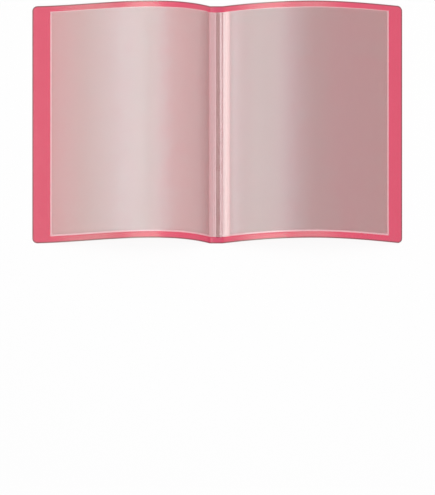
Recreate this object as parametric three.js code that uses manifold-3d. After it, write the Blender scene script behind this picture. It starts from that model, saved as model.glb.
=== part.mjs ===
// A4 display book lying open: a translucent cover of two arched panels and a spine,
// a ribbed weld strip along the spine, and ten clear pockets that open at the top.
// Millimetres. The origin is the middle of the spine's underside, +X is towards the
// back cover, +Y towards the top edge and +Z up from the table.
import * as THREE from 'three';
import { mergeVertices } from 'three/addons/utils/BufferGeometryUtils.js';
import Module from 'manifold-3d';

// Cover
const COVER_WIDTH = 240; // one panel from its crease to its free edge, along the sheet
const COVER_HEIGHT = 310;
const COVER_THICK = 0.6;
const SPINE_WIDTH = 16;
const CORNER_RADIUS = 6.5;
const SCORE_WIDTH = 1.2; // the sheet is pressed thin beside each crease
const SCORE_THICK = 0.32;
const CREASE_GAP = 0.3;

// How each panel rests: it leaves the crease steeply, crests, and comes down to its edge.
// The two steepness values are end slopes, in units of the crest height over that stretch.
const LEFT_ARCH = { crestAt: 75, crestHeight: 32.7, atCrease: 2.6, atEdge: 0.3 };
const RIGHT_ARCH = { crestAt: 115, crestHeight: 32.7, atCrease: 1.9, atEdge: 1.6 };

// Pockets
const POCKETS_PER_SIDE = 5;
const LEAF_WIDTH = 225.8; // from the weld line to the pocket's free edge
const TAB_WIDTH = 11; // the binding margin, from the weld line to the pocket's seam
const POCKET_HEIGHT = 293.5;
const POCKET_FROM_BOTTOM = 8; // pocket's lower edge above the cover's lower edge
const FILM_THICK = 0.1;
const POCKET_OPEN = 0.3; // room between the two films
const SEAM_WIDTH = 1.6;
const SEAM_EASE = 6; // the films draw together over this width
const LAYER_GAP = 0.3;

// Weld strip
const WELD_OFFSET = 2.2; // the weld line lies this far right of the spine's middle
const WELD_WIDTH = 4;
const WELD_HEIGHT = 2;
const RIB_PITCH = 2.1;
const RIB_HEIGHT = 0.45;

// Leaves turn from the spine onto a panel over this length on each side of the crease
const ROOT_BEND = 4;

const CURVE_STEP = 6;

const wasm = await Module();
wasm.setup();

function toManifold(geometry) {
  const bare = new THREE.BufferGeometry();
  bare.setAttribute('position', geometry.getAttribute('position'));
  if (geometry.index) bare.setIndex(geometry.index);
  const welded = mergeVertices(bare, 1e-4);
  return new wasm.Manifold(new wasm.Mesh({
    numProp: 3,
    vertProperties: welded.getAttribute('position').array,
    triVerts: new Uint32Array(welded.index.array),
  }));
}

function toGeometry(solid) {
  const mesh = solid.getMesh();
  const indexed = new THREE.BufferGeometry();
  indexed.setAttribute('position', new THREE.Float32BufferAttribute(mesh.vertProperties, 3));
  indexed.setIndex(Array.from(mesh.triVerts));
  const geometry = indexed.toNonIndexed();
  geometry.computeVertexNormals();
  return geometry;
}

const smooth = (u) => {
  const t = Math.min(Math.max(u, 0), 1);
  return t * t * (3 - 2 * t);
};

// Height share between an end and the crest, for a way u from the end to the crest
const riseShare = (u, steepness) => u * u * (3 - 2 * u) + steepness * u * (1 - u) ** 2;

// The underside of one panel as points from its crease, at x 0, out to its free edge
function archPoints(arch, fall) {
  const points = [];
  const steps = 80;
  for (let i = 0; i < steps; i++) {
    const u = i / steps;
    points.push(new THREE.Vector2(u * arch.crestAt,
      arch.crestHeight * riseShare(u, arch.atCrease)));
  }
  for (let i = steps; i >= 0; i--) {
    const u = i / steps;
    points.push(new THREE.Vector2(arch.crestAt + (1 - u) * fall,
      arch.crestHeight * riseShare(u, arch.atEdge)));
  }
  return points;
}

const lengthOf = (points) =>
  points.slice(1).reduce((sum, p, i) => sum + p.distanceTo(points[i]), 0);

// The panel keeps its real width along the sheet, so the way down is solved for it
function restingPoints(arch) {
  let low = 0;
  let high = COVER_WIDTH;
  for (let i = 0; i < 50; i++) {
    const middle = (low + high) / 2;
    if (lengthOf(archPoints(arch, middle)) < COVER_WIDTH) low = middle;
    else high = middle;
  }
  return archPoints(arch, low);
}

// A curve across the book with its distance along it and its upward side
function layCurve(points, side) {
  const curve = new THREE.SplineCurve(points.map((p) => new THREE.Vector2(side * p.x, p.y)));
  curve.arcLengthDivisions = 1500;
  const length = curve.getLength();
  return {
    length,
    offset(s, height, upright = false) {
      const u = Math.min(Math.max(s / length, 0), 1);
      const point = curve.getPointAt(u);
      const tangent = curve.getTangentAt(u);
      const up = upright ? new THREE.Vector2(0, 1)
        : new THREE.Vector2(-tangent.y, tangent.x).multiplyScalar(side);
      return point.addScaledVector(up, height);
    },
  };
}

function stationsBetween(from, to, step, extra = []) {
  const count = Math.max(2, Math.round((to - from) / step));
  const all = extra.filter((s) => s > from && s < to);
  for (let i = 0; i <= count; i++) {
    const s = from + ((to - from) * i) / count;
    if (i === 0 || i === count || all.every((e) => Math.abs(e - s) > 0.3 * step)) all.push(s);
  }
  return all.sort((a, b) => a - b);
}

// An outline in the XZ plane, made solid from one Y to another
function extrudeAlongY(outline, yLow, yHigh) {
  const geometry = new THREE.ExtrudeGeometry(new THREE.Shape(outline), {
    depth: yHigh - yLow, bevelEnabled: false, steps: 1,
  });
  geometry.rotateX(Math.PI / 2);
  geometry.translate(0, yHigh, 0);
  return geometry;
}

function named(name, geometry, material) {
  const mesh = new THREE.Mesh(geometry, new THREE.MeshStandardMaterial(material));
  mesh.name = name;
  return mesh;
}

const coverLook = { color: 0xd82d55, roughness: 0.32, metalness: 0 };
const filmLook = { color: 0xe2d3d2, roughness: 0.22, metalness: 0 };
const weldLook = { color: 0xb08f8e, roughness: 0.4, metalness: 0 };

// Cover panels
function coverPanel(name, arch, side) {
  const curve = layCurve(restingPoints(arch), side);
  const start = CREASE_GAP / 2;
  const scored = start + SCORE_WIDTH;
  const stations = stationsBetween(start, curve.length, CURVE_STEP, [scored, 2 * scored]);
  const thickAt = (s) =>
    SCORE_THICK + (COVER_THICK - SCORE_THICK) * smooth((s - start) / SCORE_WIDTH);
  const lower = stations.map((s) => curve.offset(s, 0));
  const upper = stations.map((s) => curve.offset(s, thickAt(s), s === start)).reverse();
  const outline = [...lower, ...upper];
  outline.forEach((p) => { p.x += (side * SPINE_WIDTH) / 2; });
  const yEdge = COVER_HEIGHT / 2;
  const panel = toManifold(extrudeAlongY(outline, -yEdge, yEdge));
  const xEdge = Math.max(...outline.map((p) => side * p.x));
  const top = Math.max(...outline.map((p) => p.y)) + 1;
  // What lies outside a rounded corner whose sharp point is at the origin, at the upper right
  const shape = new THREE.Shape();
  shape.moveTo(-CORNER_RADIUS, 0);
  shape.absarc(-CORNER_RADIUS, -CORNER_RADIUS, CORNER_RADIUS, Math.PI / 2, 0, true);
  shape.lineTo(1, -CORNER_RADIUS);
  shape.lineTo(1, 1);
  shape.lineTo(-CORNER_RADIUS, 1);
  const [lowCorner, highCorner] = [-1, 1].map((end) => {
    const cutter = new THREE.ExtrudeGeometry(shape, {
      depth: top + 1, bevelEnabled: false, curveSegments: 10,
    });
    cutter.rotateZ(Math.atan2(end, side) - Math.PI / 4);
    cutter.translate(side * xEdge, end * yEdge, -1);
    return toManifold(cutter);
  });
  return named(name, toGeometry(panel.subtract(lowCorner).subtract(highCorner)), coverLook);
}

// Spine panel, thinned along both creases
function spinePanel() {
  const half = SPINE_WIDTH / 2 - CREASE_GAP / 2;
  const outline = [
    [-half, 0], [half, 0], [half, SCORE_THICK], [half - SCORE_WIDTH, COVER_THICK],
    [-half + SCORE_WIDTH, COVER_THICK], [-half, SCORE_THICK],
  ].map(([x, z]) => new THREE.Vector2(x, z));
  const yEdge = COVER_HEIGHT / 2;
  return named('spine_panel', extrudeAlongY(outline, -yEdge, yEdge), coverLook);
}

const pocketLow = -COVER_HEIGHT / 2 + POCKET_FROM_BOTTOM;
const pocketHigh = pocketLow + POCKET_HEIGHT;

// Weld strip: its top is pressed into ribs across the strip
function weldStrip() {
  const base = COVER_THICK + LAYER_GAP;
  const ribs = Math.floor(POCKET_HEIGHT / RIB_PITCH);
  const pitch = POCKET_HEIGHT / ribs;
  const outline = [[pocketLow, base]];
  outline.push([pocketHigh, base]);
  for (let i = ribs - 1; i >= 0; i--) {
    const y = pocketLow + i * pitch;
    outline.push([y + pitch * 0.98, base + WELD_HEIGHT - RIB_HEIGHT]);
    outline.push([y + pitch * 0.72, base + WELD_HEIGHT]);
    outline.push([y + pitch * 0.3, base + WELD_HEIGHT]);
    outline.push([y + pitch * 0.04, base + WELD_HEIGHT - RIB_HEIGHT]);
  }
  const shape = new THREE.Shape(outline.map(([y, z]) => new THREE.Vector2(y, z)));
  const geometry = new THREE.ExtrudeGeometry(shape, { depth: WELD_WIDTH, bevelEnabled: false });
  geometry.applyMatrix4(new THREE.Matrix4().makeBasis(
    new THREE.Vector3(0, 1, 0), new THREE.Vector3(0, 0, 1), new THREE.Vector3(1, 0, 0)));
  geometry.translate(WELD_OFFSET - WELD_WIDTH / 2, 0, 0);
  return named('weld_strip', geometry, weldLook);
}

// The surface that the leaves lie on: the spine, a bend over the crease, then the panel
function leafBed(arch, side) {
  const half = SPINE_WIDTH / 2;
  const points = restingPoints(arch);
  const lift = (p, i) => {
    const a = points[Math.max(i - 1, 0)];
    const b = points[Math.min(i + 1, points.length - 1)];
    const along = b.clone().sub(a).normalize();
    return new THREE.Vector2(half + p.x - along.y * COVER_THICK, p.y + along.x * COVER_THICK);
  };
  const panel = points.map(lift);
  const first = panel.findIndex((p) => p.x > half + ROOT_BEND);
  const landing = panel[first];
  const along = panel[first + 1].clone().sub(landing);
  const cornerX = landing.x - ((landing.y - COVER_THICK) * along.x) / along.y;
  const bend = new THREE.QuadraticBezierCurve(
    new THREE.Vector2(cornerX - ROOT_BEND, COVER_THICK),
    new THREE.Vector2(cornerX, COVER_THICK), landing);
  const flat = [0, 0.25, 0.5, 0.75].map(
    (u) => new THREE.Vector2(u * (cornerX - ROOT_BEND), COVER_THICK));
  return layCurve([...flat, ...bend.getPoints(12), ...panel.slice(first + 1)], side);
}

// One leaf: a binding tab and a pocket of two films, welded along three edges
function leaf(bed, sideName, side, number) {
  const weldAt = side * WELD_OFFSET;
  const root = weldAt + WELD_WIDTH / 2 + LAYER_GAP;
  const seam = weldAt + TAB_WIDTH;
  const inner = seam + LAYER_GAP;
  const outer = Math.min(weldAt + LEAF_WIDTH, bed.length - SEAM_WIDTH);
  const order = number - 1;
  const opening = (s) => POCKET_OPEN * smooth((s - inner - SEAM_WIDTH) / SEAM_EASE);
  const closing = (s) => POCKET_OPEN * smooth((s - outer + SEAM_WIDTH + SEAM_EASE) / SEAM_EASE);
  const low = (s) => LAYER_GAP + order * (2 * FILM_THICK + LAYER_GAP + opening(s));
  const thick = (s) => 2 * FILM_THICK + opening(s) - closing(s);

  const tabStations = stationsBetween(root, seam, 1.6);
  const tab = [
    ...tabStations.map((s) => bed.offset(s, low(s))),
    ...tabStations.map((s) => bed.offset(s, low(s) + 2 * FILM_THICK)).reverse(),
  ];

  const eases = [0, 0.3, 0.65, 1].map((u) => SEAM_WIDTH + u * SEAM_EASE);
  const stations = stationsBetween(inner, outer, CURVE_STEP,
    [...eases.map((e) => inner + e), ...eases.map((e) => outer - e)]);
  const body = [
    ...stations.map((s) => bed.offset(s, low(s))),
    ...stations.map((s) => bed.offset(s, low(s) + thick(s))).reverse(),
  ];
  const inside = stations.filter(
    (s) => s > inner + SEAM_WIDTH - 0.01 && s < outer - SEAM_WIDTH + 0.01);
  const room = [
    ...inside.map((s) => bed.offset(s, low(s) + FILM_THICK)),
    ...inside.slice(1, -1).map((s) => bed.offset(s, low(s) + thick(s) - FILM_THICK)).reverse(),
  ];
  const sleeve = toManifold(extrudeAlongY(body, pocketLow, pocketHigh))
    .subtract(toManifold(extrudeAlongY(room, pocketLow + SEAM_WIDTH, pocketHigh + 1)));
  return [
    named(`${sideName}_tab_${number}`, extrudeAlongY(tab, pocketLow, pocketHigh), filmLook),
    named(`${sideName}_pocket_${number}`, toGeometry(sleeve), filmLook),
  ];
}

const book = new THREE.Group();
book.name = 'display_book';
book.add(coverPanel('front_cover', LEFT_ARCH, -1));
book.add(spinePanel());
book.add(coverPanel('back_cover', RIGHT_ARCH, 1));
book.add(weldStrip());
for (const [sideName, arch, side] of [['left', LEFT_ARCH, -1], ['right', RIGHT_ARCH, 1]]) {
  const bed = leafBed(arch, side);
  for (let number = 1; number <= POCKETS_PER_SIDE; number++) {
    book.add(...leaf(bed, sideName, side, number));
  }
}

export default book;
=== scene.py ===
import bpy
import bmesh
import math
import numpy as np
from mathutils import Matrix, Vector


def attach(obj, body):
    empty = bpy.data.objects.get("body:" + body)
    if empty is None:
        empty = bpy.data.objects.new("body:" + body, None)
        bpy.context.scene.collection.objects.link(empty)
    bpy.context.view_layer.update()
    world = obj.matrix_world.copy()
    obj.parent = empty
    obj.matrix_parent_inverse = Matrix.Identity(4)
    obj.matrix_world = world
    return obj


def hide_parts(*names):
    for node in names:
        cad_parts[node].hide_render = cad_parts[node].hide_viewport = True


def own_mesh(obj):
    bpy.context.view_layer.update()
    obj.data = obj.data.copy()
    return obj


# An A4 display book lying open: a translucent cover in three panels,
# five clear pockets on each side and the ribbed weld that holds them

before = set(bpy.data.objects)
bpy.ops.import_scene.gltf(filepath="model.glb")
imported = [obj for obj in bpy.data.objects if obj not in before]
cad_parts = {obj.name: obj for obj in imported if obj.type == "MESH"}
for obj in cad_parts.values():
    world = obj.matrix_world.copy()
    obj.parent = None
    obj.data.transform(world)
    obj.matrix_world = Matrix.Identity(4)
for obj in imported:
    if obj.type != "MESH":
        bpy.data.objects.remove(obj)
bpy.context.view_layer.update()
scene = bpy.context.scene
scene.view_settings.view_transform = "Standard"
filmCrossings = 96  # clear faces that a ray crosses, and none ends by chance among them
scene.cycles.transparent_max_bounces = filmCrossings
scene.cycles.min_transparent_bounces = filmCrossings
scene.cycles.denoising_input_passes = "RGB"  # ten clear films over each other make a grainy guide
mm = 0.001
print("frame loaded")


# Camera: straight down the book at 77 degrees, no perspective, at the photograph's scale
photoView = {
    "elevation": 77,
    "metresPerPixel": 1.274 * mm,
    "frameHeight": 495,
    "originAt": (216.2, 124.9),  # where the spine's middle falls in the photograph
    "frameCentre": (217.5, 247.5),
    "distance": 1.6,
}


def placeCamera(view):
    tilt = math.radians(view["elevation"])
    up = Vector((0, math.sin(tilt), math.cos(tilt)))
    back = Vector((0, -math.cos(tilt), math.sin(tilt)))
    across = (view["frameCentre"][0] - view["originAt"][0]) * view["metresPerPixel"]
    down = (view["frameCentre"][1] - view["originAt"][1]) * view["metresPerPixel"]
    data = bpy.data.cameras.new("photoCamera")
    data.type = "ORTHO"
    data.ortho_scale = view["frameHeight"] * view["metresPerPixel"]
    camera = bpy.data.objects.new("photoCamera", data)
    camera.location = Vector((across, 0, 0)) - up * down + back * view["distance"]
    camera.rotation_euler = (math.radians(90 - view["elevation"]), 0, 0)
    scene.collection.objects.link(camera)
    scene.camera = camera


placeCamera(photoView)
print("camera placed")


# The curves that the sheets lie on, across the book
cover = {
    "width": 240 * mm,
    "height": 310 * mm,
    "thickness": 0.6 * mm,
    "spineWidth": 16 * mm,
    "cornerRadius": 6.5 * mm,
    "scoreWidth": 1.2 * mm,
    "scoreThickness": 0.32 * mm,
    "creaseGap": 0.1 * mm,
    "cutAcross": 3.5 * mm,  # how finely a panel is cut, and along the book
    "cutAlong": 31 * mm,
    "spineCut": 4 * mm,
}
arches = {
    "left": {"crestAt": 75 * mm, "crestHeight": 32.7 * mm, "atCrease": 2.6, "atEdge": 0.3},
    "right": {"crestAt": 115 * mm, "crestHeight": 32.7 * mm, "atCrease": 1.9, "atEdge": 1.6},
}
leafBend = 4 * mm  # how far from the crease the leaves bend up
sideSign = {"left": -1, "right": 1}


def smooth(u):
    t = np.clip(u, 0, 1)
    return t * t * (3 - 2 * t)


def riseShare(u, steepness):
    return smooth(u) + steepness * u * (1 - u) ** 2


def archLine(arch, fall):
    way = np.linspace(0, 1, 81)
    up = np.column_stack((way * arch["crestAt"], arch["crestHeight"] * riseShare(way, arch["atCrease"])))
    back = way[::-1][1:]
    fallen = arch["crestHeight"] * riseShare(back, arch["atEdge"])
    down = np.column_stack((arch["crestAt"] + (1 - back) * fall, fallen))
    return np.vstack((up, down))


def lineLength(points):
    return np.linalg.norm(np.diff(points, axis=0), axis=1).sum()


def restingLine(arch):
    low, high = 0, cover["width"]
    for _ in range(40):
        middle = (low + high) / 2
        if lineLength(archLine(arch, middle)) < cover["width"]:
            low = middle
        else:
            high = middle
    points = archLine(arch, low)
    points[:, 0] += cover["spineWidth"] / 2
    return points


def normals(points):
    slope = np.gradient(points, axis=0)
    slope /= np.linalg.norm(slope, axis=1)[:, None]
    return np.column_stack((-slope[:, 1], slope[:, 0]))


def laidLine(points):
    steps = np.linalg.norm(np.diff(points, axis=0), axis=1)
    along = np.concatenate(([0], np.cumsum(steps)))
    even = np.linspace(0, along[-1], 1200)
    line = np.column_stack((np.interp(even, along, points[:, 0]), np.interp(even, along, points[:, 1])))
    return {"s": even, "line": line, "normal": normals(line)}


def leafBed(points):
    # flat on the spine, then round the crease and up the panel
    z = cover["thickness"]
    panel = points + z * normals(points)
    first = int(np.argmax(panel[:, 0] > cover["spineWidth"] / 2 + leafBend))
    landing, ahead = panel[first], panel[first + 1] - panel[first]
    corner = np.array((landing[0] - (landing[1] - z) * ahead[0] / ahead[1], z))
    start = corner - np.array((leafBend, 0))
    t = np.linspace(0, 1, 13)[:, None]
    turn = (1 - t) ** 2 * start + 2 * t * (1 - t) * corner + t * t * landing
    flat = np.column_stack((np.linspace(0, start[0], 5)[:-1], np.full(4, z)))
    return np.vstack((flat, turn, panel[first + 1:]))


coverLines = {side: laidLine(restingLine(arch)) for side, arch in arches.items()}
leafLines = {side: laidLine(leafBed(restingLine(arch))) for side, arch in arches.items()}
print("curves laid")


def pointsOn(line, s, w):
    # places at distance s along a line and height w above it
    x = np.interp(s, line["s"], line["line"][:, 0])
    z = np.interp(s, line["s"], line["line"][:, 1])
    nx = np.interp(s, line["s"], line["normal"][:, 0])
    nz = np.interp(s, line["s"], line["normal"][:, 1])
    return x + nx * w, z + nz * w


# Flat sheets, cut from one face and bent afterwards
def everything(bm):
    return bm.verts[:] + bm.edges[:] + bm.faces[:]


def evenCuts(low, high, step):
    count = max(1, round((high - low) / step))
    return [low + (high - low) * i / count for i in range(1, count)]


def flatSheet(width, low, high, thickness, across, upward, radius=0):
    bm = bmesh.new()
    corners = [bm.verts.new(p) for p in ((0, low, 0), (width, low, 0), (width, high, 0), (0, high, 0))]
    bm.faces.new(corners)
    if radius:
        bmesh.ops.bevel(bm, geom=corners[1:3], offset=radius, segments=9, profile=0.5,
                        affect="VERTICES", material=-1)
    cuts = [((s, 0, 0), (1, 0, 0)) for s in across] + [((0, y, 0), (0, 1, 0)) for y in upward]
    for place, normal in cuts:
        bmesh.ops.bisect_plane(bm, geom=everything(bm), plane_co=place, plane_no=normal, dist=1e-7)
    bmesh.ops.solidify(bm, geom=bm.faces[:], thickness=thickness)
    bottom = min(v.co.z for v in bm.verts)
    bmesh.ops.translate(bm, vec=(0, 0, -bottom), verts=bm.verts[:])
    bmesh.ops.recalc_face_normals(bm, faces=bm.faces[:])
    flat = bm.loops.layers.uv.new("flat")
    for face in bm.faces:
        for loop in face.loops:
            loop[flat].uv = (loop.vert.co.x, loop.vert.co.y)
    return bm


def bendSheet(bm, side, line, start, height):
    # height gives, for distances s and y, how far the sheet's underside lies above the line
    verts = bm.verts[:]
    co = np.array([v.co for v in verts])
    s = start + co[:, 0]
    x, z = pointsOn(line, s, co[:, 2] + height(s, co[:, 1]))
    for v, vx, vz in zip(verts, x * sideSign[side], z):
        v.co.x, v.co.z = vx, vz
    if sideSign[side] < 0:
        bmesh.ops.reverse_faces(bm, faces=bm.faces[:])


def makePiece(name, bms, material, body, nodes, slot, smoothAngle=40):
    mesh = bpy.data.meshes.new(name)
    whole = bmesh.new()
    for bm in bms:
        part = bpy.data.meshes.new("part")
        bm.to_mesh(part)
        whole.from_mesh(part)
        bpy.data.meshes.remove(part)
        bm.free()
    whole.to_mesh(mesh)
    whole.free()
    mesh.materials.append(material)
    mesh.shade_smooth()
    mesh.set_sharp_from_angle(angle=math.radians(smoothAngle))
    piece = bpy.data.objects.new(name, mesh)
    scene.collection.objects.link(piece)
    piece.visible_shadow = slot != "clear_film"  # clear film lets the light through to what it covers
    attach(piece, body)
    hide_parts(*nodes)
    return piece


# Materials
def emptyTree(owner, output):
    owner.use_nodes = True
    tree = owner.node_tree
    tree.nodes.clear()
    return tree, tree.nodes.new(output).inputs["Surface"]


def newTree(name):
    material = bpy.data.materials.new(name)
    tree, out = emptyTree(material, "ShaderNodeOutputMaterial")
    surface = tree.nodes.new("ShaderNodeBsdfPrincipled")
    tree.links.new(surface.outputs["BSDF"], out)
    return material, tree, surface


def newGroup(name, inputs, outputs):
    group = bpy.data.node_groups.new(name, "ShaderNodeTree")
    for socket, kind, value in inputs:
        made = group.interface.new_socket(name=socket, in_out="INPUT", socket_type=kind)
        made.default_value = value
    for socket, kind in outputs:
        group.interface.new_socket(name=socket, in_out="OUTPUT", socket_type=kind)
    return group, group.nodes.new("NodeGroupInput"), group.nodes.new("NodeGroupOutput")


def feed(tree, socket, value):
    if isinstance(value, bpy.types.NodeSocket):
        tree.links.new(value, socket)
    elif value is not None:
        socket.default_value = value


def sums(tree, operation, a, b=None, clamp=False):
    node = tree.nodes.new("ShaderNodeMath")
    node.operation = operation
    node.use_clamp = clamp
    feed(tree, node.inputs[0], a)
    feed(tree, node.inputs[1], b)
    return node.outputs[0]


def ramped(tree, value, fromLow, fromHigh, toLow=0.0, toHigh=1.0, curve="SMOOTHSTEP"):
    node = tree.nodes.new("ShaderNodeMapRange")
    node.interpolation_type = curve
    feed(tree, node.inputs["Value"], value)
    feed(tree, node.inputs["From Min"], fromLow)
    feed(tree, node.inputs["From Max"], fromHigh)
    feed(tree, node.inputs["To Min"], toLow)
    feed(tree, node.inputs["To Max"], toHigh)
    return node.outputs["Result"]


def band(tree, place, reach):
    # 1 between the two middle marks, 0 outside the outer two
    rise, full, fade, gone = reach
    return sums(tree, "MULTIPLY", ramped(tree, place, rise, full), ramped(tree, place, fade, gone, 1.0, 0.0))


def blended(tree, share, a, b):
    node = tree.nodes.new("ShaderNodeMix")
    node.data_type = "RGBA"
    feed(tree, node.inputs["Factor"], share)
    feed(tree, node.inputs[6], a)
    feed(tree, node.inputs[7], b)
    return node.outputs[2]


def along(tree, place, stops):
    node = tree.nodes.new("ShaderNodeValToRGB")
    feed(tree, node.inputs["Fac"], place)
    marks = node.color_ramp.elements
    while len(marks) < len(stops):
        marks.new(0.5)
    for mark, (at, colour) in zip(marks, stops):
        mark.position, mark.color = at, colour
    return node.outputs["Color"]


def noise(tree, vector, scale, detail=2.0, roughness=0.5):
    node = tree.nodes.new("ShaderNodeTexNoise")
    feed(tree, node.inputs["Vector"], vector)
    node.inputs["Scale"].default_value = scale
    node.inputs["Detail"].default_value = detail
    node.inputs["Roughness"].default_value = roughness
    return node.outputs["Fac"]


def frontOnly(tree, alpha):
    # a sheet has two faces, and only the one turned to the eye counts
    away = tree.nodes.new("ShaderNodeNewGeometry").outputs["Backfacing"]
    return sums(tree, "MULTIPLY", alpha, sums(tree, "SUBTRACT", 1.0, away))


def flatPlace(tree):
    node = tree.nodes.new("ShaderNodeUVMap")
    node.uv_map = "flat"
    return node.outputs["UV"]


def parts(tree, vector):
    node = tree.nodes.new("ShaderNodeSeparateXYZ")
    feed(tree, node.inputs[0], vector)
    return node.outputs


def raised(tree, surface, height, strength, depth):
    node = tree.nodes.new("ShaderNodeBump")
    node.inputs["Strength"].default_value = strength
    node.inputs["Distance"].default_value = depth
    feed(tree, node.inputs["Height"], height)
    feed(tree, surface.inputs["Normal"], node.outputs["Normal"])


def seenPlain(tree):
    # 1 for what the camera sees, straight or in a gloss or through a clear sheet
    rays = tree.nodes.new("ShaderNodeLightPath").outputs
    throughGloss = sums(tree, "MAXIMUM", rays["Is Glossy Ray"], rays["Is Transmission Ray"])
    return sums(tree, "MAXIMUM", rays["Is Camera Ray"], throughGloss)


def stretched(tree, vector, scale, place=(0, 0, 0)):
    node = tree.nodes.new("ShaderNodeMapping")
    feed(tree, node.inputs["Vector"], vector)
    node.inputs["Scale"].default_value = scale
    node.inputs["Location"].default_value = place
    return node.outputs["Vector"]


# Long soft bands down a bent sheet, with fine grain between them
sheetPattern = {
    "bands": (38, 2.2, 1),  # to a metre across the sheet, and down it
    "fineScale": 2600,
    "wearScale": 46,
}


def makeSheetBands():
    group, given, made = newGroup(
        "sheetBands",
        [("Shift", "NodeSocketFloat", 0.0), ("Grain", "NodeSocketFloat", 0.2)],
        [("Height", "NodeSocketFloat"), ("Wear", "NodeSocketFloat")])
    place = flatPlace(group)
    moved = group.nodes.new("ShaderNodeVectorMath")
    moved.operation = "ADD"
    feed(group, moved.inputs[0], place)
    feed(group, moved.inputs[1], given.outputs["Shift"])
    bands = noise(group, stretched(group, moved.outputs[0], sheetPattern["bands"]), 1.0, 2.0)
    grain = noise(group, place, sheetPattern["fineScale"], 1.0)
    fine = sums(group, "MULTIPLY", grain, given.outputs["Grain"])
    wear = noise(group, moved.outputs[0], sheetPattern["wearScale"], 2.0, 0.6)
    group.links.new(sums(group, "ADD", bands, fine), made.inputs["Height"])
    group.links.new(wear, made.inputs["Wear"])
    return group


# How far a point is from the free edge of a sheet with rounded corners, by its flat place
def makeSheetRim():
    group, given, made = newGroup(
        "sheetRim",
        [("Width", "NodeSocketFloat", cover["width"]),
         ("Half Height", "NodeSocketFloat", cover["height"] / 2),
         ("Radius", "NodeSocketFloat", cover["cornerRadius"])],
        [("Distance", "NodeSocketFloat")])
    place = parts(group, flatPlace(group))
    radius = given.outputs["Radius"]
    # places from the middle of the rounded corner, outwards
    x = sums(group, "ADD", sums(group, "SUBTRACT", place["X"], given.outputs["Width"]), radius)
    fromMiddle = sums(group, "ABSOLUTE", place["Y"])
    y = sums(group, "ADD", sums(group, "SUBTRACT", fromMiddle, given.outputs["Half Height"]), radius)
    outX, outY = sums(group, "MAXIMUM", x, 0.0), sums(group, "MAXIMUM", y, 0.0)
    squares = sums(group, "ADD", sums(group, "MULTIPLY", outX, outX), sums(group, "MULTIPLY", outY, outY))
    outside = sums(group, "SQRT", squares)
    inside = sums(group, "MINIMUM", sums(group, "MAXIMUM", x, y), 0.0)
    signed = sums(group, "SUBTRACT", sums(group, "ADD", outside, inside), radius)
    group.links.new(sums(group, "MULTIPLY", signed, -1.0), made.inputs["Distance"])
    return group


sheetBands = makeSheetBands()
sheetRim = makeSheetRim()


def placed(tree, group, **values):
    node = tree.nodes.new("ShaderNodeGroup")
    node.node_tree = group
    for socket, value in values.items():
        feed(tree, node.inputs[socket.replace("_", " ")], value)
    return node.outputs


coverFinish = {
    "colour": (0.735, 0.004, 0.09, 1),
    "edgeColour": (0.3, 0.03, 0.06, 1),
    "faded": (0.75, 0.01, 0.1, 1),
    # paler bands across each panel: a painted highlight where the arched cover catches the light
    "paintedSheen": {"left": (0.72, 0.06, 0.125, 1), "right": (0.72, 0.1, 0.155, 1)},
    "paintedSheenReach": {
        "left": (95 * mm, 140 * mm, 155 * mm, 205 * mm),
        "right": (70 * mm, 115 * mm, 120 * mm, 165 * mm),
    },
    "sheen": (0.2, 1, 0.72, 1),  # the tint of its highlight
    "shine": 0.65,
    "ior": 1.5,
    "alpha": 0.93,
    "edgeAlpha": 0.97,
    "edgeWidth": 1.9 * mm,
    "edgeSharpness": 0.55,
    "grain": 0.35,
    "wornFrom": (0.2, 0.8),  # of the wear pattern
    "roughness": (0.22, 0.26),
    "bump": (0.25, 0.12 * mm),
}
# the spine is a darker, duller copy of the cover plastic: painted shade on the flat spine
shadedSpineFinish = {**coverFinish, "colour": (0.62, 0.014, 0.1, 1), "faded": (0.64, 0.022, 0.11, 1), "shine": 0.2}


def makeCoverMaterial(name, width, shift, finish, side=None):
    material, tree, surface = newTree(name)
    bands = placed(tree, sheetBands, Shift=shift, Grain=finish["grain"])
    rim = placed(tree, sheetRim, Width=width, Half_Height=cover["height"] / 2, Radius=cover["cornerRadius"])
    edgeFrom = finish["edgeSharpness"] * finish["edgeWidth"]
    edge = ramped(tree, rim["Distance"], edgeFrom, finish["edgeWidth"], 1.0, 0.0)
    worn = ramped(tree, bands["Wear"], *finish["wornFrom"], curve="LINEAR")
    body = blended(tree, worn, finish["colour"], finish["faded"])
    if side:
        # painted highlight: a paler band across the panel
        sheenBand = band(tree, parts(tree, flatPlace(tree))["X"], finish["paintedSheenReach"][side])
        body = blended(tree, sheenBand, body, finish["paintedSheen"][side])
    roughness = ramped(tree, bands["Wear"], *finish["wornFrom"], *finish["roughness"], "LINEAR")
    alpha = ramped(tree, edge, 0.0, 1.0, finish["alpha"], finish["edgeAlpha"])
    feed(tree, surface.inputs["Base Color"], blended(tree, edge, body, finish["edgeColour"]))
    feed(tree, surface.inputs["Roughness"], roughness)
    feed(tree, surface.inputs["Alpha"], frontOnly(tree, alpha))
    raised(tree, surface, bands["Height"], *finish["bump"])
    surface.inputs["IOR"].default_value = finish["ior"]
    surface.inputs["Specular IOR Level"].default_value = finish["shine"]
    surface.inputs["Specular Tint"].default_value = finish["sheen"]
    return material


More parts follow.
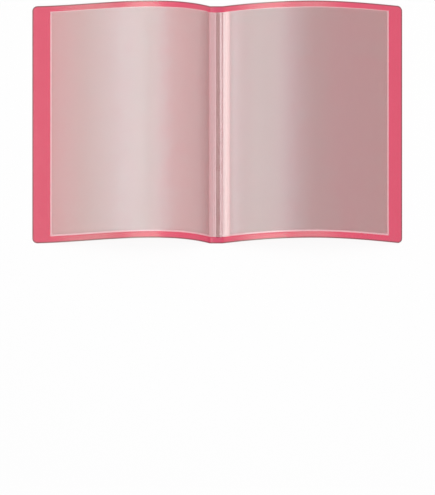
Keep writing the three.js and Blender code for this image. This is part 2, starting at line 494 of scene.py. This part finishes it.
filmFinish = {
    # grey haze of the films from the root, 0, to the free edge, 1, with painted highlight bands where it is
    # paler and painted shade where it is darker; the left pages are painted lighter than the right, as if
    # lit from the left
    "colour": {
        "left": (
            (0.0, (0.54, 0.475, 0.45, 1)), (0.3, (0.61, 0.61, 0.59, 1)), (0.4, (0.49, 0.485, 0.45, 1)),
            (0.56, (0.65, 0.68, 0.66, 1)), (0.8, (0.6, 0.535, 0.5, 1)), (1.0, (0.64, 0.475, 0.455, 1)),
        ),
        "right": (
            (0.0, (0.46, 0.42, 0.39, 1)), (0.12, (0.53, 0.54, 0.51, 1)), (0.26, (0.415, 0.395, 0.365, 1)),
            (0.42, (0.455, 0.437, 0.43, 1)), (0.55, (0.41, 0.37, 0.355, 1)), (1.0, (0.46, 0.405, 0.38, 1)),
        ),
    },
    "seamColour": (0.8, 0.5, 0.53, 1),
    "creaseColour": (0.3, 0.27, 0.26, 1),  # the grey line just inside a seam
    # paler near the root where the films bend up: a painted highlight on that bend
    "bendHighlight": {"left": (0.61, 0.57, 0.54, 1), "right": (0.65, 0.7, 0.68, 1)},
    "bendHighlightReach": {"left": (8 * mm, 24 * mm, 42 * mm, 72 * mm), "right": (-2 * mm, 0, 12 * mm, 30 * mm)},
    "rootSeamAndHighlight": {"left": 1.2 * mm, "right": 6.4 * mm},  # how wide the weld at the root shows; on the right the band is widened into a painted highlight beside the spine
    # the weld's colour on the left; on the right a pale painted highlight where the films rise from the
    # spine
    "rootSeamAndHighlightColour": {"left": (0.8, 0.5, 0.53, 1), "right": (0.93, 0.79, 0.78, 1)},
    "sheen": (0.7, 1, 0.98, 1),
    "ior": 1.8,
    "haze": 0.107,  # of each film
    "hazeSpread": (0.9, 1.15),
    "seamHaze": 0.24,
    "mouthHaze": 0.2,
    "seamWidth": 2.0 * mm,
    "seamSharpness": 0.75,
    "mouthWidth": (0.5 * mm, 1.1 * mm),
    "creaseAt": 1.5,  # in seam widths from the edge
    "creaseHalf": 0.35,
    "creaseSoft": (0.3, 1.0),
    "creaseStrength": 0.5,
    "grain": 0.04,
    "roughness": (0.3, 0.4),
    "bump": (0.3, 0.35 * mm),
}
filmShift = {"left": 0, "right": 5}  # so that no two films carry the same bands
filmStep = 0.37


def makeFilmMaterial(name, side, width, low, high, shift):
    material, tree, surface = newTree(name)
    finish = filmFinish
    bands = placed(tree, sheetBands, Shift=shift, Grain=finish["grain"])
    x, y = parts(tree, flatPlace(tree))[:2]

    # where the film is welded: at its root, its free edge and its foot
    weldEdge = (finish["seamSharpness"] * finish["seamWidth"], finish["seamWidth"], 1.0, 0.0)
    root = sums(tree, "MULTIPLY", x, finish["seamWidth"] / finish["rootSeamAndHighlight"][side])
    sides = sums(tree, "MINIMUM", root, sums(tree, "SUBTRACT", width, x))
    foot = sums(tree, "SUBTRACT", y, low)
    seam = ramped(tree, sums(tree, "MINIMUM", sides, foot), *weldEdge)
    atRoot = ramped(tree, root, *weldEdge)
    mouth = ramped(tree, sums(tree, "SUBTRACT", high, y), *finish["mouthWidth"], 1.0, 0.0)
    outer = sums(tree, "MINIMUM", sums(tree, "SUBTRACT", width, x), foot)
    inward = sums(tree, "SUBTRACT", outer, finish["creaseAt"] * finish["seamWidth"])
    reach = sums(tree, "DIVIDE", inward, finish["creaseHalf"] * finish["seamWidth"])
    offCrease = sums(tree, "ABSOLUTE", reach)
    crease = ramped(tree, offCrease, *finish["creaseSoft"], finish["creaseStrength"], 0.0)

    clear, cloudy = (share * finish["haze"] for share in finish["hazeSpread"])
    haze = ramped(tree, bands["Wear"], 0.3, 0.75, clear, cloudy)
    haze = sums(tree, "ADD", haze, sums(tree, "MULTIPLY", seam, finish["seamHaze"] - finish["haze"]))
    haze = sums(tree, "ADD", haze, sums(tree, "MULTIPLY", mouth, finish["mouthHaze"] - finish["haze"]))
    feed(tree, surface.inputs["Alpha"], frontOnly(tree, haze))

    # painted highlight and shade bands across the page, from the colours above
    body = along(tree, sums(tree, "DIVIDE", x, width), finish["colour"][side])
    # painted highlight on the films' bend near the root
    body = blended(tree, band(tree, x, finish["bendHighlightReach"][side]), body, finish["bendHighlight"][side])
    body = blended(tree, crease, body, finish["creaseColour"])
    body = blended(tree, sums(tree, "MAXIMUM", seam, mouth), body, finish["seamColour"])
    # weld at the root, and on the right a painted highlight beside the spine
    feed(tree, surface.inputs["Base Color"], blended(tree, atRoot, body, finish["rootSeamAndHighlightColour"][side]))

    feed(tree, surface.inputs["Roughness"], ramped(tree, bands["Wear"], 0.3, 0.7, *finish["roughness"]))
    raised(tree, surface, bands["Height"], *finish["bump"])
    surface.inputs["IOR"].default_value = finish["ior"]
    surface.inputs["Specular Tint"].default_value = finish["sheen"]
    return material


tabFinish = {
    # the strips' clear tone, the right one darker: painted shade, as on the right pages
    "clear": {"left": (0.57, 0.47, 0.465, 1), "right": (0.4, 0.3, 0.29, 1)},
    # painted highlight where the strip curves up; the left one stays flat
    "highlightFrom": {"left": (20 * mm, 30 * mm), "right": (4.6 * mm, 6.8 * mm)},
    # pale streaks in the strip, and the painted highlight on its curve
    "streakAndHighlightColour": (0.9, 0.8, 0.79, 1),
    "highlightShare": 0.7,
    "haze": (0.19, 0.36),
    "streaks": (620, 1.1, 1),  # fine across the strip, long up the spine
    "streakShare": 0.5,
    "roughness": (0.2, 0.35),
    "bump": (0.3, 0.1 * mm),
}


def makeTabMaterial(name, side, shift):
    material, tree, surface = newTree(name)
    place = flatPlace(tree)
    streaks = noise(tree, stretched(tree, place, tabFinish["streaks"], (shift, 0, 0)), 1.0, 3.0, 0.6)
    across = parts(tree, place)["X"]
    # painted highlight where the right strip curves up from the weld
    curveHighlight = ramped(tree, across, *tabFinish["highlightFrom"][side], 0.0, tabFinish["highlightShare"])
    streaked = ramped(tree, streaks, 0.35, 0.7, 0.0, tabFinish["streakShare"])
    share = sums(tree, "ADD", streaked, curveHighlight, clamp=True)
    body = blended(tree, share, tabFinish["clear"][side], tabFinish["streakAndHighlightColour"])
    haze = ramped(tree, share, 0.0, 1.0, *tabFinish["haze"])
    feed(tree, surface.inputs["Base Color"], body)
    feed(tree, surface.inputs["Alpha"], frontOnly(tree, haze))
    feed(tree, surface.inputs["Roughness"], ramped(tree, streaks, 0.3, 0.7, *tabFinish["roughness"]))
    raised(tree, surface, streaks, *tabFinish["bump"])
    surface.inputs["IOR"].default_value = filmFinish["ior"]
    return material


weldFinish = {
    "shadedCore": (0.2, 0.09, 0.09, 1),  # painted shade between the ribs, where the weld lies lower
    "rib": (0.58, 0.34, 0.335, 1),
    "ribFrom": (2.5 * mm, 2.85 * mm),
    "milky": (0.62, 0.42, 0.41, 1),
    "milkyShare": 0.4,
    "patchScale": 240,
    "grainScale": 1800,
    "alpha": 0.86,
    "roughness": (0.28, 0.5),
    "bump": (0.4, 0.1 * mm),
}


def makeWeldMaterial(finish):
    material, tree, surface = newTree("ribbedWeld")
    place = tree.nodes.new("ShaderNodeTexCoord").outputs["Object"]
    patches = noise(tree, place, finish["patchScale"], 3.0)
    onRib = ramped(tree, parts(tree, place)["Z"], *finish["ribFrom"])
    # painted shade in the low parts between the ribs
    base = blended(tree, onRib, finish["shadedCore"], finish["rib"])
    milkiness = ramped(tree, patches, 0.35, 0.7, 0.0, finish["milkyShare"])
    feed(tree, surface.inputs["Base Color"], blended(tree, milkiness, base, finish["milky"]))
    feed(tree, surface.inputs["Roughness"], ramped(tree, patches, 0.3, 0.7, *finish["roughness"]))
    surface.inputs["Alpha"].default_value = finish["alpha"]
    raised(tree, surface, noise(tree, place, finish["grainScale"], 2.0), *finish["bump"])
    return material


print("materials ready")


# Cover panels and spine
def pressScore(bm, fromCrease):
    # thins the top face towards a crease
    thin = cover["scoreThickness"] / cover["thickness"]
    for v in bm.verts:
        if v.co.z > cover["thickness"] / 2:
            v.co.z *= thin + (1 - thin) * float(smooth(fromCrease(v.co.x) / cover["scoreWidth"]))


def makePanel(name, side, node, shift):
    start = cover["creaseGap"] / 2
    width = cover["width"] - start
    half = cover["height"] / 2
    score = cover["scoreWidth"]
    cuts = [0.35 * score, 0.7 * score, score] + evenCuts(score, width, cover["cutAcross"])
    rows = evenCuts(-half, half, cover["cutAlong"])
    bm = flatSheet(width, -half, half, cover["thickness"], cuts, rows, cover["cornerRadius"])
    pressScore(bm, lambda x: x)
    bendSheet(bm, side, coverLines[side], start, lambda s, y: np.zeros_like(s))
    material = makeCoverMaterial(name + "Plastic", width, shift, coverFinish, side)
    piece = makePiece(name, [bm], material, node, [node], "cover_sheet")
    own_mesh(piece)


def makeSpine():
    width = cover["spineWidth"] - cover["creaseGap"]
    score = cover["scoreWidth"]
    half = cover["height"] / 2
    ends = [0.5 * score, score, width - score, width - 0.5 * score]
    cuts = sorted(ends + evenCuts(score, width - score, cover["spineCut"]))
    bm = flatSheet(width, -half, half, cover["thickness"], cuts, evenCuts(-half, half, cover["cutAlong"]))
    pressScore(bm, lambda x: min(x, width - x))
    bmesh.ops.translate(bm, vec=(-width / 2, 0, 0), verts=bm.verts[:])
    # given far more width than its own, it gets the darker rim at its ends alone
    material = makeCoverMaterial("shadedSpinePlastic", 1.0, 0.7, shadedSpineFinish)
    makePiece("spineSheet", [bm], material, "spine", ["spine_panel"], "cover_sheet")


makePanel("frontCoverSheet", "left", "front_cover", 0.0)
makePanel("backCoverSheet", "right", "back_cover", 0.4)
makeSpine()
print("cover made")


# Pockets and their binding tabs
leaf = {
    "perSide": 5,
    "width": 225.8 * mm,  # from the weld line to the free edge
    "tabWidth": 11 * mm,
    "height": 293.5 * mm,
    "fromBottom": 8 * mm,
    "film": 0.1 * mm,
    "open": 0.3 * mm,
    "seam": 1.6 * mm,
    "ease": 6 * mm,
    "layerGap": 0.3 * mm,
    "touch": 0.02 * mm,  # kept between the two films where they are welded
    "edgeCuts": (0.5, 1, 2, 3.5, 5),  # in seams from the edge
    "cutAcross": 4 * mm,
    "cutAlong": 15 * mm,
    "tabCut": 1.2 * mm,
    "rootHeight": 1.0 * mm,  # of the first tab at the weld
    "rootPitch": 0.5 * mm,  # from each tab to the next
    "closedPitch": 0.3 * mm,  # how much closer to the cover each one is held when the book closes
}
weld = {"offset": 2.2 * mm, "width": 4 * mm}
leafLow = -cover["height"] / 2 + leaf["fromBottom"]
leafHigh = leafLow + leaf["height"]


def leafSpan(side):
    at = sideSign[side] * weld["offset"]
    root = at + weld["width"] / 2 + leaf["layerGap"]
    seam = at + leaf["tabWidth"]
    return root, seam, seam + leaf["layerGap"], at + leaf["width"]


def layerHeight(side, number, s):
    inner = leafSpan(side)[2]
    opening = leaf["open"] * smooth((s - inner - leaf["seam"]) / leaf["ease"])
    return leaf["layerGap"] + (number - 1) * (2 * leaf["film"] + leaf["layerGap"] + opening)


def pocketOpening(side, s, y):
    inner, outer = leafSpan(side)[2:]
    reach = np.minimum(np.minimum(s - inner, outer - s), y - leafLow)
    return leaf["touch"] + (leaf["open"] - leaf["touch"]) * smooth((reach - leaf["seam"]) / leaf["ease"])


def makeLeaf(side, number, filmMaterial, tabMaterial):
    root, seam, inner, outer = leafSpan(side)
    line = leafLines[side]
    rows = evenCuts(leafLow, leafHigh, leaf["cutAlong"])
    edge = [leaf["seam"] * k for k in leaf["edgeCuts"]]
    span = outer - inner
    cuts = sorted(edge + [span - e for e in edge] + evenCuts(edge[-1], span - edge[-1], leaf["cutAcross"]))
    films = []
    for front in (0, 1):
        bm = flatSheet(span, leafLow, leafHigh, leaf["film"], cuts, [leafLow + e for e in edge] + rows[1:])
        bendSheet(bm, side, line, inner, lambda s, y: layerHeight(side, number, s)
                  + front * (leaf["film"] + pocketOpening(side, s, y)))
        films.append(bm)
    tabWidth = seam - root
    strip = flatSheet(tabWidth + leaf["layerGap"], leafLow, leafHigh, 2 * leaf["film"],
                      evenCuts(0, tabWidth, leaf["tabCut"]), rows)
    bendSheet(strip, side, line, root, lambda s, y: layerHeight(side, number, s))

    # the left leaves turn whole, the right pockets turn on their tabs
    pocketBody, tabBody = {
        "left": (f"left_leaf_{number}", f"left_leaf_{number}"),
        "right": (f"right_pocket_{number}", f"right_tab_{number}"),
    }[side]
    pocket = makePiece(f"{side}Pocket{number}", films, filmMaterial, pocketBody,
                       [f"{side}_pocket_{number}"], "clear_film")
    tab = makePiece(f"{side}Tab{number}", [strip], tabMaterial, tabBody,
                    [f"{side}_tab_{number}"], "clear_film")
    for piece in (pocket, tab):
        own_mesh(piece)


tabMaterials = {
    "left": makeTabMaterial("leftBinding", "left", 1.3),
    "right": makeTabMaterial("rightBinding", "right", 7.9),
}
for side in ("left", "right"):
    span = leafSpan(side)[3] - leafSpan(side)[2]
    for number in range(1, leaf["perSide"] + 1):
        shift = filmStep * number + filmShift[side]
        film = makeFilmMaterial(f"{side}Film{number}", side, span, leafLow, leafHigh, shift)
        makeLeaf(side, number, film, tabMaterials[side])
    print(side, "pockets made")


# The weld keeps its CAD shape
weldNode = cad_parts["weld_strip"]
weldNode.data.materials.clear()
weldNode.data.materials.append(makeWeldMaterial(weldFinish))


# Floor, lamps and world
studio = {
    "floorSize": 6,
    "floorDrop": 0.02 * mm,
    "floorColour": (0.9, 0.9, 0.9, 1),
    "plainShare": 0.92,  # how much of the floor the camera sees as plain white
    "world": 0.4,
    "keyPower": 18,
    "keySize": (1.4, 1.4),
    "keyPlace": (0.08, 0.1, 1.5),
    # cards that only show in the gloss: power, size, place
    "cards": {
        "nearCard": (1.73, (0.205, 0.62), (-0.1325, 0.1, 0.36)),
        "farCard": (2.45, (0.29, 0.8), (-0.885, 0.27, 1.0)),
    },
}


def makeFloor():
    bm = bmesh.new()
    bmesh.ops.create_grid(bm, x_segments=1, y_segments=1, size=studio["floorSize"] / 2)
    bmesh.ops.translate(bm, vec=(0, 0, -studio["floorDrop"]), verts=bm.verts[:])
    mesh = bpy.data.meshes.new("floor")
    bm.to_mesh(mesh)
    bm.free()
    material = bpy.data.materials.new("paleFloor")
    tree, out = emptyTree(material, "ShaderNodeOutputMaterial")
    matte = tree.nodes.new("ShaderNodeBsdfDiffuse")
    matte.inputs["Color"].default_value = studio["floorColour"]
    white = tree.nodes.new("ShaderNodeEmission")
    mix = tree.nodes.new("ShaderNodeMixShader")
    feed(tree, mix.inputs[0], sums(tree, "MULTIPLY", seenPlain(tree), studio["plainShare"]))
    tree.links.new(matte.outputs[0], mix.inputs[1])
    tree.links.new(white.outputs[0], mix.inputs[2])
    tree.links.new(mix.outputs[0], out)
    mesh.materials.append(material)
    floor = bpy.data.objects.new("floor", mesh)
    scene.collection.objects.link(floor)


def makeLamp(name, place, size, power, aim=(0, 0, 0), gloss=False):
    data = bpy.data.lights.new(name, "AREA")
    data.shape = "RECTANGLE"
    data.size, data.size_y = size
    data.energy = power
    lamp = bpy.data.objects.new(name, data)
    lamp.location = place
    lamp.rotation_euler = (Vector(aim) - Vector(place)).to_track_quat("-Z", "Y").to_euler()
    lamp.visible_camera = False
    lamp.visible_glossy = gloss
    lamp.visible_diffuse = not gloss
    scene.collection.objects.link(lamp)


def makeWorld():
    world = bpy.data.worlds.new("studio")
    tree, out = emptyTree(world, "ShaderNodeOutputWorld")
    sky = tree.nodes.new("ShaderNodeBackground")
    sky.inputs["Color"].default_value = (1, 1, 1, 1)
    strength = ramped(tree, seenPlain(tree), 0.0, 1.0, studio["world"], 1.0, "LINEAR")
    feed(tree, sky.inputs["Strength"], strength)
    tree.links.new(sky.outputs[0], out)
    scene.world = world


makeFloor()
makeLamp("keyLamp", studio["keyPlace"], studio["keySize"], studio["keyPower"])
for name, (power, size, place) in studio["cards"].items():
    makeLamp(name, place, size, power, (place[0], place[1], 0), gloss=True)
makeWorld()
print("studio lit")
